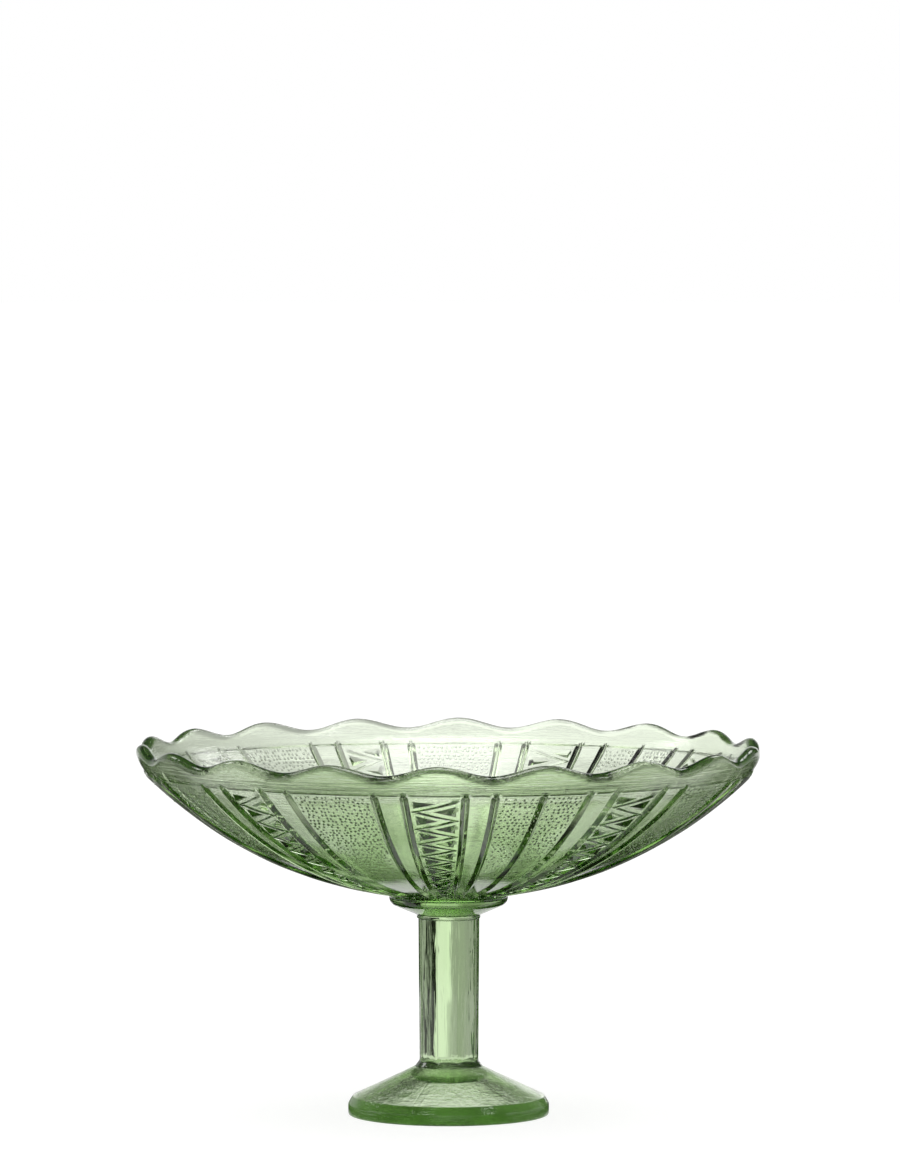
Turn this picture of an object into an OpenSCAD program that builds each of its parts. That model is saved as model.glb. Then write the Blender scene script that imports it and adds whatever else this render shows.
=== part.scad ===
// Footed compote bowl in pressed glass: a scalloped bowl with moulded relief, a collar, a nine-sided stem and a round
// foot. Millimetres, +Z up, the foot's resting ring on z = 0, the axis on x = 0, y = 0.

/* [Overall] */

// Width across the bowl at the crests of its rim
bowl_d = 240; // [236:1:246]
// Height from the table to the crests of the rim
total_h = 143.4; // [140:0.2:148]
// Direction of the first mould seam rib, anticlockwise from +X
pattern_turn = -72; // [-90:1:0]

/* [Bowl wall] */

// Radius of the bowl's round underside
bowl_curve_r = 162; // [156:1:170]
// Thickness of the glass in the bowl
wall_t = 4.6; // [4:0.1:5.2]
// Radius of the wall where it turns up to the rim
lip_curve_r = 16.5; // [15:0.5:18]
// How far the plain rim stands proud of the patterned wall
ring_step = 0.45; // [0.3:0.05:0.6]
// Slope of the wall under a crest of the rim, measured from level
rim_turn = 80; // [77:1:82]
// Height of the scallops, from trough to crest
wave_h = 3.7; // [2.8:0.1:4.2]
// Number of scallops round the rim
wave_count = 18; // [18:1:18]

/* [Ribs and bands] */

// Parts of the bowl's mould, with one seam rib each
mould_parts = 3; // [3:1:3]
// Angle from a seam rib to the centre of the band beside it
side_band_angle = 20.6; // [20:0.1:21]
// Half the angle between the ribs of a band beside a seam
side_band_half = 5.75; // [5.4:0.05:6]
// Half the angle between the ribs of the band midway between seams
mid_band_half = 4.85; // [4.5:0.05:5.2]
// Angle of the plain strip between a band's rib and its outer rib
strip_angle = 5.6; // [5.2:0.1:6]
// Width of a rib at the ring line
rib_w = 3.3; // [2.8:0.1:3.6]
// Height of a rib at the ring line
rib_h = 1.3; // [1:0.1:1.6]
// Width and height of a rib near the collar, as a share of those at the ring line
rib_inner_share = 0.6; // [0.5:0.05:0.65]
// Length of the tip of a rib
rib_tip = 1.4; // [1:0.1:2]

/* [Zigzag] */

// Spacing of the zigzag down a band
zigzag_pitch = 8.5; // [8.3:0.1:8.7]
// Width of a zigzag line
zigzag_w = 1; // [0.8:0.1:1.2]
// Height of a zigzag line
zigzag_h = 0.6; // [0.4:0.1:0.8]
// Distance from the ring line down to the first turn of the zigzag
zigzag_start = 2; // [1.6:0.1:2.4]
// Smooth gap between a rib and the turns of the zigzag
gutter_w = 0.15; // [0.1:0.05:0.3]
// Height of the three-sided pyramids between the zigzag lines
pyramid_h = 1.1; // [0.8:0.1:1.3]
// Size of a pyramid, as a share of the cell it stands in
pyramid_share = 0.52; // [0.45:0.01:0.6]

/* [Collar] */

// Width of the collar
collar_d = 45.4; // [44:0.2:47]
// Height of the collar, from the stem to the bowl
collar_h = 8.6; // [8.2:0.1:9.2]
// Radius of the collar's round edge
collar_edge_r = 3.2; // [2.8:0.1:3.6]
// Distance from the middle of that round edge up to the bowl
collar_edge_drop = 2; // [1.6:0.1:2.4]

/* [Stem] */

// Width across the corners of the stem at its top
stem_top_d = 24; // [23:0.2:25]
// Width across the corners of the stem at its foot
stem_foot_d = 23.2; // [22.2:0.2:23.8]
// Number of sides of the stem
stem_sides = 9; // [9:1:9]
// Height of the round neck at the top of the stem
neck_h = 1.3; // [1:0.1:1.8]
// How far the neck stands out past the stem's corners
neck_step = 0.15; // [0.1:0.05:0.3]
// Height of the flare at the bottom of the stem, above the foot
flare_h = 2.4; // [2:0.1:3]
// Slope of that flare, measured from level
flare_slope = 52; // [45:1:58]

/* [Foot] */

// Width of the foot
foot_d = 77; // [74:0.5:80]
// Height of the foot, from the table to the bottom of the stem
foot_h = 18.6; // [18:0.1:19.4]
// Radius of the foot at its top
foot_top_r = 12.9; // [12.6:0.1:13.2]
// Radius at which the steep shoulder meets the long slope
shoulder_r = 17.6; // [17:0.1:18.4]
// Height at which the steep shoulder meets the long slope
shoulder_z = 16.2; // [15.6:0.1:16.8]
// Height of the edge band
band_h = 7.1; // [6.6:0.1:7.6]
// Height of the bevel at the top of the edge band
bevel_h = 2.9; // [2.4:0.1:3.4]
// Width of the bevel at the top of the edge band
bevel_w = 1.7; // [1.4:0.1:2]
// Radius of the edge band's bottom corner
bottom_edge_r = 0.8; // [0.6:0.1:1.4]
// Width of the flat ring that the foot rests on
rest_ring_w = 5.5; // [4.5:0.5:6.5]
// Depth of the hollow under the foot
hollow_h = 9; // [8:0.2:10]
// Radius of the flat middle of that hollow
hollow_mid_r = 12; // [10:0.5:14]

/* [Hidden] */

bowl_r = bowl_d / 2;
lip_t = wall_t + ring_step;
lip_mid_r = lip_curve_r - lip_t / 2;
// Centre of the wall's upward turn, and the ring line that it starts from
lip_reach = bowl_curve_r + ring_step - lip_curve_r;
lip_centre_r = bowl_r - lip_t / 2 - lip_mid_r * sin(rim_turn);
ring_slope = asin(lip_centre_r / lip_reach);
ring_r = bowl_curve_r * sin(ring_slope);
lip_centre_z = total_h - lip_t / 2 + lip_mid_r * cos(rim_turn);
bowl_centre_z = lip_centre_z + lip_reach * cos(ring_slope);
inner_curve_r = bowl_curve_r - wall_t;

// The seat that the bowl and the collar share
collar_r = collar_d / 2;
seat_r = collar_r - collar_edge_r + sqrt(pow(collar_edge_r, 2) - pow(collar_edge_drop, 2));
seat_z = bowl_centre_z - sqrt(pow(bowl_curve_r, 2) - pow(seat_r, 2));
collar_z = seat_z - collar_h;

// Rows of points up the patterned wall, from the collar to just past the ring line
hub_gap = 2.2;
hub_r = seat_r + hub_gap;
ring_ramp = 0.5;
row_count = 8;
inner_row_r = hub_r + rib_tip;
rows = [
    hub_r,
    for (i = [0 : row_count]) inner_row_r + (ring_r - inner_row_r) * i / row_count,
    ring_r + ring_ramp
];
last_row = len(rows) - 1;

// Across a rib: place from edge to edge, and height
rib_across = [-1, -0.5, 0, 0.5, 1];
rib_height_shares = [0, 0.58, 1, 0.58, 0];
rib_tip_share = 0.72;

function angle_of(width, r) = width / r * 180 / PI;
function inward(r) = (ring_r - r) / (ring_r - hub_r);
function fade(r, inner_share) = 1 - (1 - inner_share) * max(0, inward(r));
function rib_half_angle(r) = angle_of(rib_w / 2 * fade(r, rib_inner_share), r);
function gutter_angle(r) = angle_of(gutter_w * fade(r, gutter_inner_share), r);
gutter_inner_share = 0.3;
relief_inner_share = 0.35;

// A point of the outside, from its direction, its radius and its height over the round wall
function on_wall(p) =
    let (s = p[1] / bowl_curve_r, k = bowl_curve_r + p[2])
    [k * s * cos(p[0]), k * s * sin(p[0]), bowl_centre_z - k * sqrt(1 - s * s)];

// A plain line of points from the collar up to the ring line
function plain_line(a) = [for (i = [0 : last_row]) [a, rows[i], i == last_row ? ring_step : 0]];

// One of the lines that run along a rib
function rib_height(i, j) =
    i == 0 ? 0
    : i == last_row ? max(ring_step, rib_h * rib_height_shares[j] * rib_tip_share)
    : rib_h * rib_height_shares[j] * fade(rows[i], rib_inner_share);
function rib_line(a, j) =
    [for (i = [0 : last_row]) [a + rib_across[j] * rib_half_angle(rows[i]), rows[i], rib_height(i, j)]];
function rib(a) = [for (j = [0 : len(rib_across) - 1]) rib_line(a, j)];

// The zigzag turns from side to side of its band, from the ring line down to the collar
turn_count = 2 * floor((ring_r - zigzag_start - hub_r - 1) / zigzag_pitch);
miter = 2 * zigzag_w / zigzag_pitch;
function side(k) = k % 2 == 0 ? 1 : -1;
function turn_r(k) = ring_r - zigzag_start - k * zigzag_pitch / 2;
function band_angle(c, half, u, r) = c + u * (half - rib_half_angle(r) - gutter_angle(r));
function in_band(c, half, u, r, h = 0) = [band_angle(c, half, u, r), r, h];
function outer_turn(c, half, k) = in_band(c, half, side(k), turn_r(k));
function inner_turn(c, half, k) = in_band(c, half, side(k) * (1 - 2 * miter), turn_r(k));
end_drop = 0.3;
function turn_shift(k) = k == 0 ? -end_drop : k == turn_count ? end_drop : 0;
function crest_turn(c, half, k) =
    let (r = turn_r(k) + turn_shift(k))
    in_band(c, half, side(k) * (1 - miter), r, zigzag_h * fade(r, relief_inner_share));

// Low and high sides of a band, as lines that the ribs' edges are joined to
corner_gap = 0.7;
function band_low(c, half) = [
    in_band(c, half, -1, hub_r),
    for (k = [turn_count - 1 : -2 : 1]) outer_turn(c, half, k),
    in_band(c, half, -1, ring_r - corner_gap),
    in_band(c, half, -1, ring_r),
    in_band(c, half, -1, ring_r + ring_ramp, ring_step)
];
function band_high(c, half) = [
    in_band(c, half, 1, hub_r),
    for (k = [turn_count : -2 : 0]) outer_turn(c, half, k),
    in_band(c, half, 1, ring_r),
    in_band(c, half, 1, ring_r + ring_ramp, ring_step)
];
low_len = turn_count / 2 + 4;
high_len = turn_count / 2 + 4;
top_steps = 3;
function band_top(c, half, i) =
    let (u = 2 * i / (top_steps + 1) - 1)
    [in_band(c, half, u, ring_r), in_band(c, half, u, ring_r + ring_ramp, ring_step)];

// A pyramid in the cell between two neighbouring zigzag lines and the rib: three base corners, then its point
function flat_xy(p) = [p[1] * cos(p[0]), p[1] * sin(p[0])];
function polar(q, h) = [atan2(q[1], q[0]), norm(q), h];
function pyramid(cell) =
    let (
        q = [for (p = cell) flat_xy(p)],
        sides = [norm(q[1] - q[2]), norm(q[2] - q[0]), norm(q[0] - q[1])],
        m = (q[0] * sides[0] + q[1] * sides[1] + q[2] * sides[2]) / (sides[0] + sides[1] + sides[2])
    )
    [
        for (v = q) polar(m + (v - m) * pyramid_share, 0),
        polar(m, pyramid_h * fade(norm(m), relief_inner_share))
    ];
function cell(c, half, k) =
    k == 0 ? [in_band(c, half, -1, ring_r - corner_gap), inner_turn(c, half, 0), outer_turn(c, half, 1)]
    : [outer_turn(c, half, k - 1), inner_turn(c, half, k), outer_turn(c, half, k + 1)];
function band_inside(c, half) = [
    for (k = [0 : turn_count]) crest_turn(c, half, k),
    for (k = [0 : turn_count]) inner_turn(c, half, k),
    for (k = [0 : turn_count - 1]) each pyramid(cell(c, half, k))
];

// The lines of a band with its four ribs, in order round the bowl, each with its kind
whole_line = 0;
low_side = 1;
high_side = 2;
short_line = 3;
inside_points = 4;
function rib_lines(a) = [for (l = rib(a)) [whole_line, l]];
function band_group(c, half) = [
    each rib_lines(c - half - strip_angle),
    each rib_lines(c - half),
    [low_side, band_low(c, half)],
    each [for (i = [1 : top_steps]) [short_line, band_top(c, half, i)]],
    [inside_points, band_inside(c, half)],
    [high_side, band_high(c, half)],
    each rib_lines(c + half),
    each rib_lines(c + half + strip_angle)
];
part_angle = 360 / mould_parts;
seam_edge = side_band_angle - side_band_half - strip_angle;
side_edge = side_band_angle + side_band_half + strip_angle;
mid_edge = part_angle / 2 - mid_band_half - strip_angle;
function sector(from, to, n) = [for (i = [1 : n]) [whole_line, plain_line(from + (to - from) * i / (n + 1))]];
function part_items(a) = [
    each rib_lines(a),
    each sector(a, a + seam_edge, 1),
    each band_group(a + side_band_angle, side_band_half),
    each sector(a + side_edge, a + mid_edge, 2),
    each band_group(a + part_angle / 2, mid_band_half),
    each sector(a + part_angle - mid_edge, a + part_angle - side_edge, 2),
    each band_group(a + part_angle - side_band_angle, side_band_half),
    each sector(a + part_angle - seam_edge, a + part_angle, 1)
];
items = [for (i = [0 : mould_parts - 1]) each part_items(pattern_turn + i * part_angle)];
item_count = len(items);
starts = [
    for (i = 0, s = 0; i <= item_count; s = s + (i < item_count ? len(items[i][1]) : 0), i = i + 1) s
];
wall_count = starts[item_count];

// Joins two rows of points with triangles. Each entry is a point's number and its place along the row.
function next_is_first(a, b, s) =
    s[1] >= len(b) - 1 ? true : s[0] >= len(a) - 1 ? false : a[s[0] + 1][1] <= b[s[1] + 1][1];
function joined(a, b) = [
    for (
        s = [0, 0];
        s[0] < len(a) - 1 || s[1] < len(b) - 1;
        s = next_is_first(a, b, s) ? [s[0] + 1, s[1]] : [s[0], s[1] + 1]
    )
        next_is_first(a, b, s) ? [a[s[0]][0], a[s[0] + 1][0], b[s[1]][0]]
        : [a[s[0]][0], b[s[1] + 1][0], b[s[1]][0]]
];
function by_radius(i) = [for (n = [0 : len(items[i][1]) - 1]) [starts[i] + n, items[i][1][n][1]]];
function entry(i, n) = [starts[i] + n, items[i][1][n][0]];
function closed(row) = concat(row, [[row[0][0], row[0][1] + 360]]);
function backwards(f) = [for (n = [len(f) - 1 : -1 : 0]) f[n]];

// The plain strips, the ribs and the smooth gaps beside the zigzags
around = [for (i = [0 : item_count - 1]) if (items[i][0] <= high_side) i];
strip_faces = [
    for (n = [0 : len(around) - 1])
        let (i = around[n], j = around[(n + 1) % len(around)])
        if (items[i][0] != low_side) each joined(by_radius(i), by_radius(j))
];

// One band: its zigzag lines, its pyramids with the floor round them, and both ends
function band_faces(low) =
    let (
        inside = low + top_steps + 1,
        high = inside + 1,
        low_end = len(items[low][1]) - 1,
        high_end = len(items[high][1]) - 1,
        turns = [
            for (k = [0 : turn_count])
                k % 2 == 0 ? starts[high] + 1 + (turn_count - k) / 2 : starts[low] + 1 + (turn_count - 1 - k) / 2
        ],
        crests = [for (k = [0 : turn_count]) starts[inside] + k],
        inners = [for (k = [0 : turn_count]) starts[inside] + turn_count + 1 + k],
        points = starts[inside] + 2 * (turn_count + 1),
        corner = starts[low] + low_end - 2
    )
    [
        for (k = [0 : turn_count - 1])
            let (
                faces = [
                    [inners[k], turns[k + 1], crests[k + 1]],
                    [inners[k], crests[k + 1], crests[k]],
                    [crests[k], crests[k + 1], inners[k + 1]],
                    [crests[k], inners[k + 1], turns[k]]
                ]
            )
            each k % 2 == 0 ? [for (f = faces) backwards(f)] : faces,
        for (k = [0 : turn_count - 1])
            let (
                c = [k == 0 ? corner : turns[k - 1], inners[k], turns[k + 1]],
                b = [for (n = [0 : 2]) points + 4 * k + n],
                top = points + 4 * k + 3,
                faces = [
                    for (m = [0 : 2])
                        let (n = (m + 1) % 3)
                        each [[c[m], c[n], b[n]], [c[m], b[n], b[m]], [b[m], b[n], top]]
                ]
            )
            each k % 2 == 0 ? faces : [for (f = faces) backwards(f)],
        [crests[0], inners[0], turns[0]],
        [crests[turn_count], turns[turn_count], inners[turn_count]],
        each joined(
            [entry(low, low_end - 1), for (i = [1 : top_steps]) entry(low + i, 0), entry(high, high_end - 1)],
            [entry(low, low_end - 2), entry(inside, turn_count + 1), entry(high, high_end - 2)]
        ),
        each joined(
            [entry(low, 1), entry(inside, 2 * turn_count + 1), entry(high, 1)],
            [entry(low, 0), entry(high, 0)]
        ),
        each joined(top_pair(low), top_pair(low + 1)),
        for (i = [1 : top_steps - 1]) each joined(top_pair(low + i), top_pair(low + i + 1)),
        each joined(top_pair(low + top_steps), top_pair(high))
    ];
function top_pair(i) =
    let (n = len(items[i][1]))
    [for (m = [n - 2, n - 1]) [starts[i] + m, items[i][1][m][1]]];
all_band_faces = [for (i = [0 : item_count - 1]) if (items[i][0] == low_side) each band_faces(i)];

// Level rows round the bowl: the seat, the rim from outside to inside, and the inside
seat_count = 48;
rim_count = 144;
inner_count = 72;
function round_row(first, n) = [for (i = [0 : n]) [first + i % n, pattern_turn + 360 * i / n]];
function turned(a, r, z) = [r * cos(a), r * sin(a), z];
function lip_point(a, slope, r) = turned(a, lip_centre_r + r * sin(slope), lip_centre_z - r * cos(slope));
function edge_slope(a) =
    acos(cos(rim_turn) + wave_h / 2 * (1 - cos(wave_count * (a - pattern_turn))) / lip_mid_r);
function rim_angle(i) = pattern_turn + 360 * i / rim_count;
ring_clear = 6;
outer_rows = 3;
cap_rows = 6;
inner_lip_rows = 2;
rim_rows = [
    for (n = [0 : outer_rows]) [
        for (i = [0 : rim_count - 1])
            let (a = rim_angle(i), from = ring_slope + ring_clear)
            lip_point(a, from + (edge_slope(a) - from) * n / outer_rows, lip_curve_r)
    ],
    for (n = [1 : cap_rows]) [
        for (i = [0 : rim_count - 1])
            let (a = rim_angle(i), s = edge_slope(a), t = 180 * n / cap_rows, w = lip_t / 2)
            turned(
                a,
                lip_centre_r + lip_mid_r * sin(s) + w * (cos(t) * sin(s) + sin(t) * cos(s)),
                lip_centre_z - lip_mid_r * cos(s) + w * (sin(t) * sin(s) - cos(t) * cos(s))
            )
    ],
    for (n = [1 : inner_lip_rows]) [
        for (i = [0 : rim_count - 1])
            let (a = rim_angle(i), s = edge_slope(a))
            lip_point(a, s + (ring_slope - s) * n / inner_lip_rows, lip_curve_r - lip_t)
    ]
];
inner_rows = 8;
inside_rows = [
    for (n = [1 : inner_rows - 1]) [
        for (i = [0 : inner_count - 1])
            let (s = ring_slope * (1 - n / inner_rows))
            turned(
                pattern_turn + 360 * i / inner_count,
                inner_curve_r * sin(s),
                bowl_centre_z - inner_curve_r * cos(s)
            )
    ]
];
seat_row = [for (i = [0 : seat_count - 1]) on_wall([pattern_turn + 360 * i / seat_count, seat_r, 0])];
rim_start = wall_count + seat_count;
inside_start = rim_start + len(rim_rows) * rim_count;
middle = inside_start + len(inside_rows) * inner_count;
hub_row = closed([for (i = around) entry(i, 0)]);
ring_row = closed([
    for (i = [0 : item_count - 1])
        if (items[i][0] <= short_line) entry(i, len(items[i][1]) - 1)
]);
level_rows = [
    ring_row,
    for (n = [0 : len(rim_rows) - 1]) round_row(rim_start + n * rim_count, rim_count),
    for (n = [0 : len(inside_rows) - 1]) round_row(inside_start + n * inner_count, inner_count),
    [[middle, 0]]
];
bowl_points = [
    for (i = items) each [for (p = i[1]) on_wall(p)],
    each seat_row,
    for (row = rim_rows) each row,
    for (row = inside_rows) each row,
    [0, 0, bowl_centre_z - inner_curve_r]
];
bowl_faces = [
    each strip_faces,
    each all_band_faces,
    each joined(hub_row, round_row(wall_count, seat_count)),
    [for (i = [0 : seat_count - 1]) wall_count + i],
    for (n = [0 : len(level_rows) - 2]) each joined(level_rows[n + 1], level_rows[n])
];

module bowl() {
    color([0.62, 0.8, 0.6, 0.4]) polyhedron(points = bowl_points, faces = bowl_faces, convexity = 10);
}

// A saucer shape: a shallow cone below, a round edge, and a flat top as wide as the bowl's seat
module collar() {
    edge_z = seat_z - collar_edge_drop;
    edge_mid_r = collar_r - collar_edge_r;
    neck_r = stem_top_d / 2 + neck_step;
    rise = edge_z - collar_z;
    run = edge_mid_r - neck_r;
    // Slope at which the cone below touches the round edge
    under_slope = atan2(rise, run) - asin(collar_edge_r / norm([rise, run]));
    touch = [
        edge_mid_r + collar_edge_r * sin(under_slope),
        edge_z - collar_edge_r * cos(under_slope)
    ];
    color([0.55, 0.76, 0.53, 0.45])
        rotate_extrude()
            intersection() {
                union() {
                    translate([edge_mid_r, edge_z]) circle(r = collar_edge_r, $fn = 96);
                    polygon([[0, collar_z], [neck_r, collar_z], touch, [edge_mid_r, edge_z], [seat_r, seat_z], [0, seat_z]]);
                }
                translate([0, collar_z]) square([collar_r, collar_h]);
            }
}

// A round core with nine flats, under a round neck. The flats run out in arcs where they meet the flare.
module stem() {
    side_h = collar_z - neck_h - foot_h;
    flare_r = foot_top_r - flare_h / tan(flare_slope);
    flat_share = cos(180 / stem_sides);
    taper = atan2((stem_top_d - stem_foot_d) / 2 * flat_share, side_h);
    color([0.58, 0.78, 0.56, 0.4])
        translate([0, 0, foot_h])
            union() {
                difference() {
                    cylinder(h = side_h, d1 = stem_foot_d, d2 = stem_top_d, $fn = 96);
                    for (i = [0 : stem_sides - 1])
                        rotate([0, 0, pattern_turn + 360 * (i + 0.5) / stem_sides])
                            translate([stem_foot_d / 2 * flat_share, 0, 0])
                                rotate([0, taper, 0])
                                    translate([0, -stem_top_d / 2, -flare_h])
                                        cube([stem_top_d / 2, stem_top_d, side_h + 2 * flare_h]);
                }
                cylinder(h = flare_h, r1 = foot_top_r, r2 = flare_r, $fn = 96);
                translate([0, 0, side_h]) cylinder(h = neck_h, d = stem_top_d + 2 * neck_step, $fn = 96);
            }
}

// A steep shoulder, a long slope, a bevelled edge band and a hollow underside inside the resting ring
module foot() {
    foot_r = foot_d / 2;
    corner_r = foot_r - bottom_edge_r;
    ring_in_r = corner_r - rest_ring_w;
    color([0.55, 0.76, 0.53, 0.45])
        rotate_extrude()
            union() {
                polygon([
                    [0, hollow_h],
                    [hollow_mid_r, hollow_h],
                    [ring_in_r, 0],
                    [corner_r, 0],
                    [corner_r, bottom_edge_r],
                    [foot_r, bottom_edge_r],
                    [foot_r, band_h - bevel_h],
                    [foot_r - bevel_w, band_h],
                    [shoulder_r, shoulder_z],
                    [foot_top_r, foot_h],
                    [0, foot_h]
                ]);
                translate([corner_r, bottom_edge_r]) circle(r = bottom_edge_r, $fn = 96);
            }
}

bowl();
collar();
stem();
foot();
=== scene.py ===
import math

import bpy
import numpy as np
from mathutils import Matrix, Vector
from mathutils.geometry import delaunay_2d_cdt


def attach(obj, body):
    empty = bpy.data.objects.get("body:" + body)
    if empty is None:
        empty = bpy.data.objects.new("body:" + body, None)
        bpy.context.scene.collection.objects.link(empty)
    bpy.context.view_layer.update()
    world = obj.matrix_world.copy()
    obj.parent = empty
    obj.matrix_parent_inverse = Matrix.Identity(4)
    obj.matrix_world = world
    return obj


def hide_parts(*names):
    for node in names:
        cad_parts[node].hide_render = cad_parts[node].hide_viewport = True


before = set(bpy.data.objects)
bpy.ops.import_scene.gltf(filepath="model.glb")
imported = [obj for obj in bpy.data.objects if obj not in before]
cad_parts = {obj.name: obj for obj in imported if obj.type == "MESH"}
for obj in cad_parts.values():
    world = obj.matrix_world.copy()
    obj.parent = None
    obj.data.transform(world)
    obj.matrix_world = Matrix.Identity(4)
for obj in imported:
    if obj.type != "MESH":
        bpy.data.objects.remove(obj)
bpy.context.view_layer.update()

# --------------------------------------------------------------------------------------------------
# Sizes in millimetres and degrees. They are the solids' own, but the bowl's width and height are taken
# over its facets, and the relief on it stands a little taller
# --------------------------------------------------------------------------------------------------
MM = 0.001

bowl_d, total_h, pattern_turn = 239.8, 143.35, -72.0
bowl_curve_r, wall_t = 162.0, 4.6
lip_curve_r, ring_step, rim_turn = 16.5, 0.45, 80.0
wave_h, wave_count = 3.7, 18

mould_parts = 3
part_angle = 360.0 / mould_parts
side_band_angle, side_band_half, mid_band_half, strip_angle = 20.6, 5.75, 4.85, 5.6
rib_w, rib_h, rib_inner_share = 3.3, 1.55, 0.6
zigzag_pitch, zigzag_w, zigzag_h, zigzag_start = 8.5, 1.0, 0.7, 2.0
gutter_w, gutter_inner_share, relief_inner_share = 0.16, 0.6, 0.35
pyramid_h, pyramid_share = 1.6, 0.56

collar_d, collar_h, collar_edge_r, collar_edge_drop = 45.4, 8.6, 3.2, 2.0
stem_top_d, stem_foot_d, stem_sides = 24.0, 23.2, 9
neck_h, neck_step, flare_slope = 1.3, 0.15, 52.0
foot_d, foot_h, foot_top_r, shoulder_r, shoulder_z = 77.0, 18.6, 12.9, 17.6, 16.2
band_h, bevel_h, bevel_w, bottom_edge_r = 7.1, 2.9, 1.7, 0.8
rest_ring_w, hollow_h, hollow_mid_r = 5.5, 9.0, 12.0

bowl_r = bowl_d / 2
lip_t = wall_t + ring_step
lip_mid_r = lip_curve_r - lip_t / 2
lip_reach = bowl_curve_r + ring_step - lip_curve_r
lip_centre_r = bowl_r - lip_t / 2 - lip_mid_r * math.sin(math.radians(rim_turn))
ring_slope = math.degrees(math.asin(lip_centre_r / lip_reach))
ring_r = bowl_curve_r * math.sin(math.radians(ring_slope))
lip_centre_z = total_h - lip_t / 2 + lip_mid_r * math.cos(math.radians(rim_turn))
bowl_centre_z = lip_centre_z + lip_reach * math.cos(math.radians(ring_slope))
inner_curve_r = bowl_curve_r - wall_t
seat_r = collar_d / 2 - collar_edge_r + math.sqrt(collar_edge_r**2 - collar_edge_drop**2)
seat_z = bowl_centre_z - math.sqrt(bowl_curve_r**2 - seat_r**2)
collar_z = seat_z - collar_h

# The pieces are one lump of glass, so each reaches this far into its neighbour
JOIN = 0.05
# Degrees between the rows of points on plain glass and on the rim
EVEN, FINE = 1.5, 0.5


# --------------------------------------------------------------------------------------------------
# Meshes
# --------------------------------------------------------------------------------------------------
def smooth(t):
    """Rises softly from 0 to 1 as t does."""
    t = np.clip(t, 0, 1)
    return t * t * (3 - 2 * t)


def around(angle, radius, z):
    """Points at a direction in degrees, a radius and a height."""
    a = np.radians(angle)
    return np.stack(np.broadcast_arrays(radius * np.cos(a), radius * np.sin(a), z), -1)


def wander(seed, x, spans):
    """A slow wavering between about -1 and 1 along x, different for each seed."""
    rng = np.random.default_rng(seed)
    total = 0
    for span in spans:
        total = total + np.sin(2 * np.pi * x / span + rng.uniform(0, 2 * np.pi)) * rng.uniform(0.5, 1)
    return total / len(spans)


class Skin:
    """A closed skin of glass: points, faces and crisp edges, welded where points meet."""

    def __init__(self):
        self.points, self.faces, self.crisp, self.count = [], [], [], 0

    def add(self, points):
        """Adds an array of points and returns their numbers in the same layout."""
        points = np.asarray(points, float)
        numbers = np.arange(points.size // 3).reshape(points.shape[:-1]) + self.count
        self.points.append(points.reshape(-1, 3))
        self.count += numbers.size
        return numbers

    def loft(self, rows, flip=False):
        """Quads between closed rows of as many points each."""
        for a, b in zip(rows[:-1], rows[1:]):
            c, d = np.roll(a, -1), np.roll(b, -1)
            self.faces += (np.stack([a, b, d, c] if flip else [a, c, d, b], -1)).tolist()

    def fan(self, row, middle, flip=False):
        """Triangles from a closed row to one point."""
        nxt = np.roll(row, -1)
        m = np.full_like(row, middle)
        self.faces += (np.stack([nxt, row, m] if flip else [row, nxt, m], -1)).tolist()

    def zip(self, low, low_at, high, high_at, flip=False):
        """Triangles between two closed rows of different length. Their places run round in degrees."""
        a, b = list(low) + [low[0]], list(high) + [high[0]]
        at_a, at_b = list(low_at) + [low_at[0] + 360], list(high_at) + [high_at[0] + 360]
        i = j = 0
        while i < len(a) - 1 or j < len(b) - 1:
            step_low = j == len(b) - 1 or (i < len(a) - 1 and at_a[i + 1] <= at_b[j + 1])
            face = [a[i], a[i + 1], b[j]] if step_low else [a[i], b[j + 1], b[j]]
            self.faces.append(face[::-1] if flip else face)
            i, j = (i + 1, j) if step_low else (i, j + 1)

    def mesh(self, name):
        """The welded skin in metres, smooth but for its crisp edges."""
        points = np.concatenate(self.points)
        _, first, number = np.unique(np.round(points, 4), axis=0, return_index=True, return_inverse=True)
        number = number.reshape(-1)
        faces = []
        for face in self.faces:
            ring = [int(number[v]) for v in face]
            ring = [v for i, v in enumerate(ring) if v != ring[i - 1]]
            if len(ring) > 2:
                faces.append(ring)
        data = bpy.data.meshes.new(name)
        data.from_pydata((points[first] * MM).tolist(), [], faces)
        data.polygons.foreach_set("use_smooth", [True] * len(data.polygons))
        if self.crisp:
            wanted = {tuple(sorted((int(number[a]), int(number[b])))) for a, b in self.crisp}
            sharp = data.attributes.new("sharp_edge", "BOOLEAN", "EDGE")
            ends = np.zeros(len(data.edges) * 2, np.int32)
            data.edges.foreach_get("vertices", ends)
            ends = np.sort(ends.reshape(-1, 2), axis=1)
            sharp.data.foreach_set("value", [tuple(e) in wanted for e in ends.tolist()])
        data.validate()
        data.update()
        return data


def glass_piece(skin, name, node, finish):
    """Puts a skin into the scene as a piece that stands for one of the CAD's nodes."""
    data = skin.mesh(name)
    data.materials.append(finish)
    piece = bpy.data.objects.new(name, data)
    bpy.context.scene.collection.objects.link(piece)
    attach(piece, "root")
    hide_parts(node)


# --------------------------------------------------------------------------------------------------
# The bowl's outside: ribs, zigzag bands and stipple, one mould part at a time
# --------------------------------------------------------------------------------------------------
hub_r = seat_r + 2.2
hub_rows = [seat_r + 0.6, seat_r + 1.4]
ring_ramp, ring_bead, ring_bead_w = 0.35, 0.3, 0.5
ring_rows = [0, 0.09, 0.17, 0.26, ring_ramp, 0.5, 0.65, 0.85]
skirt_r = ring_r + 2.0
skirt_row = 1.6
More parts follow.
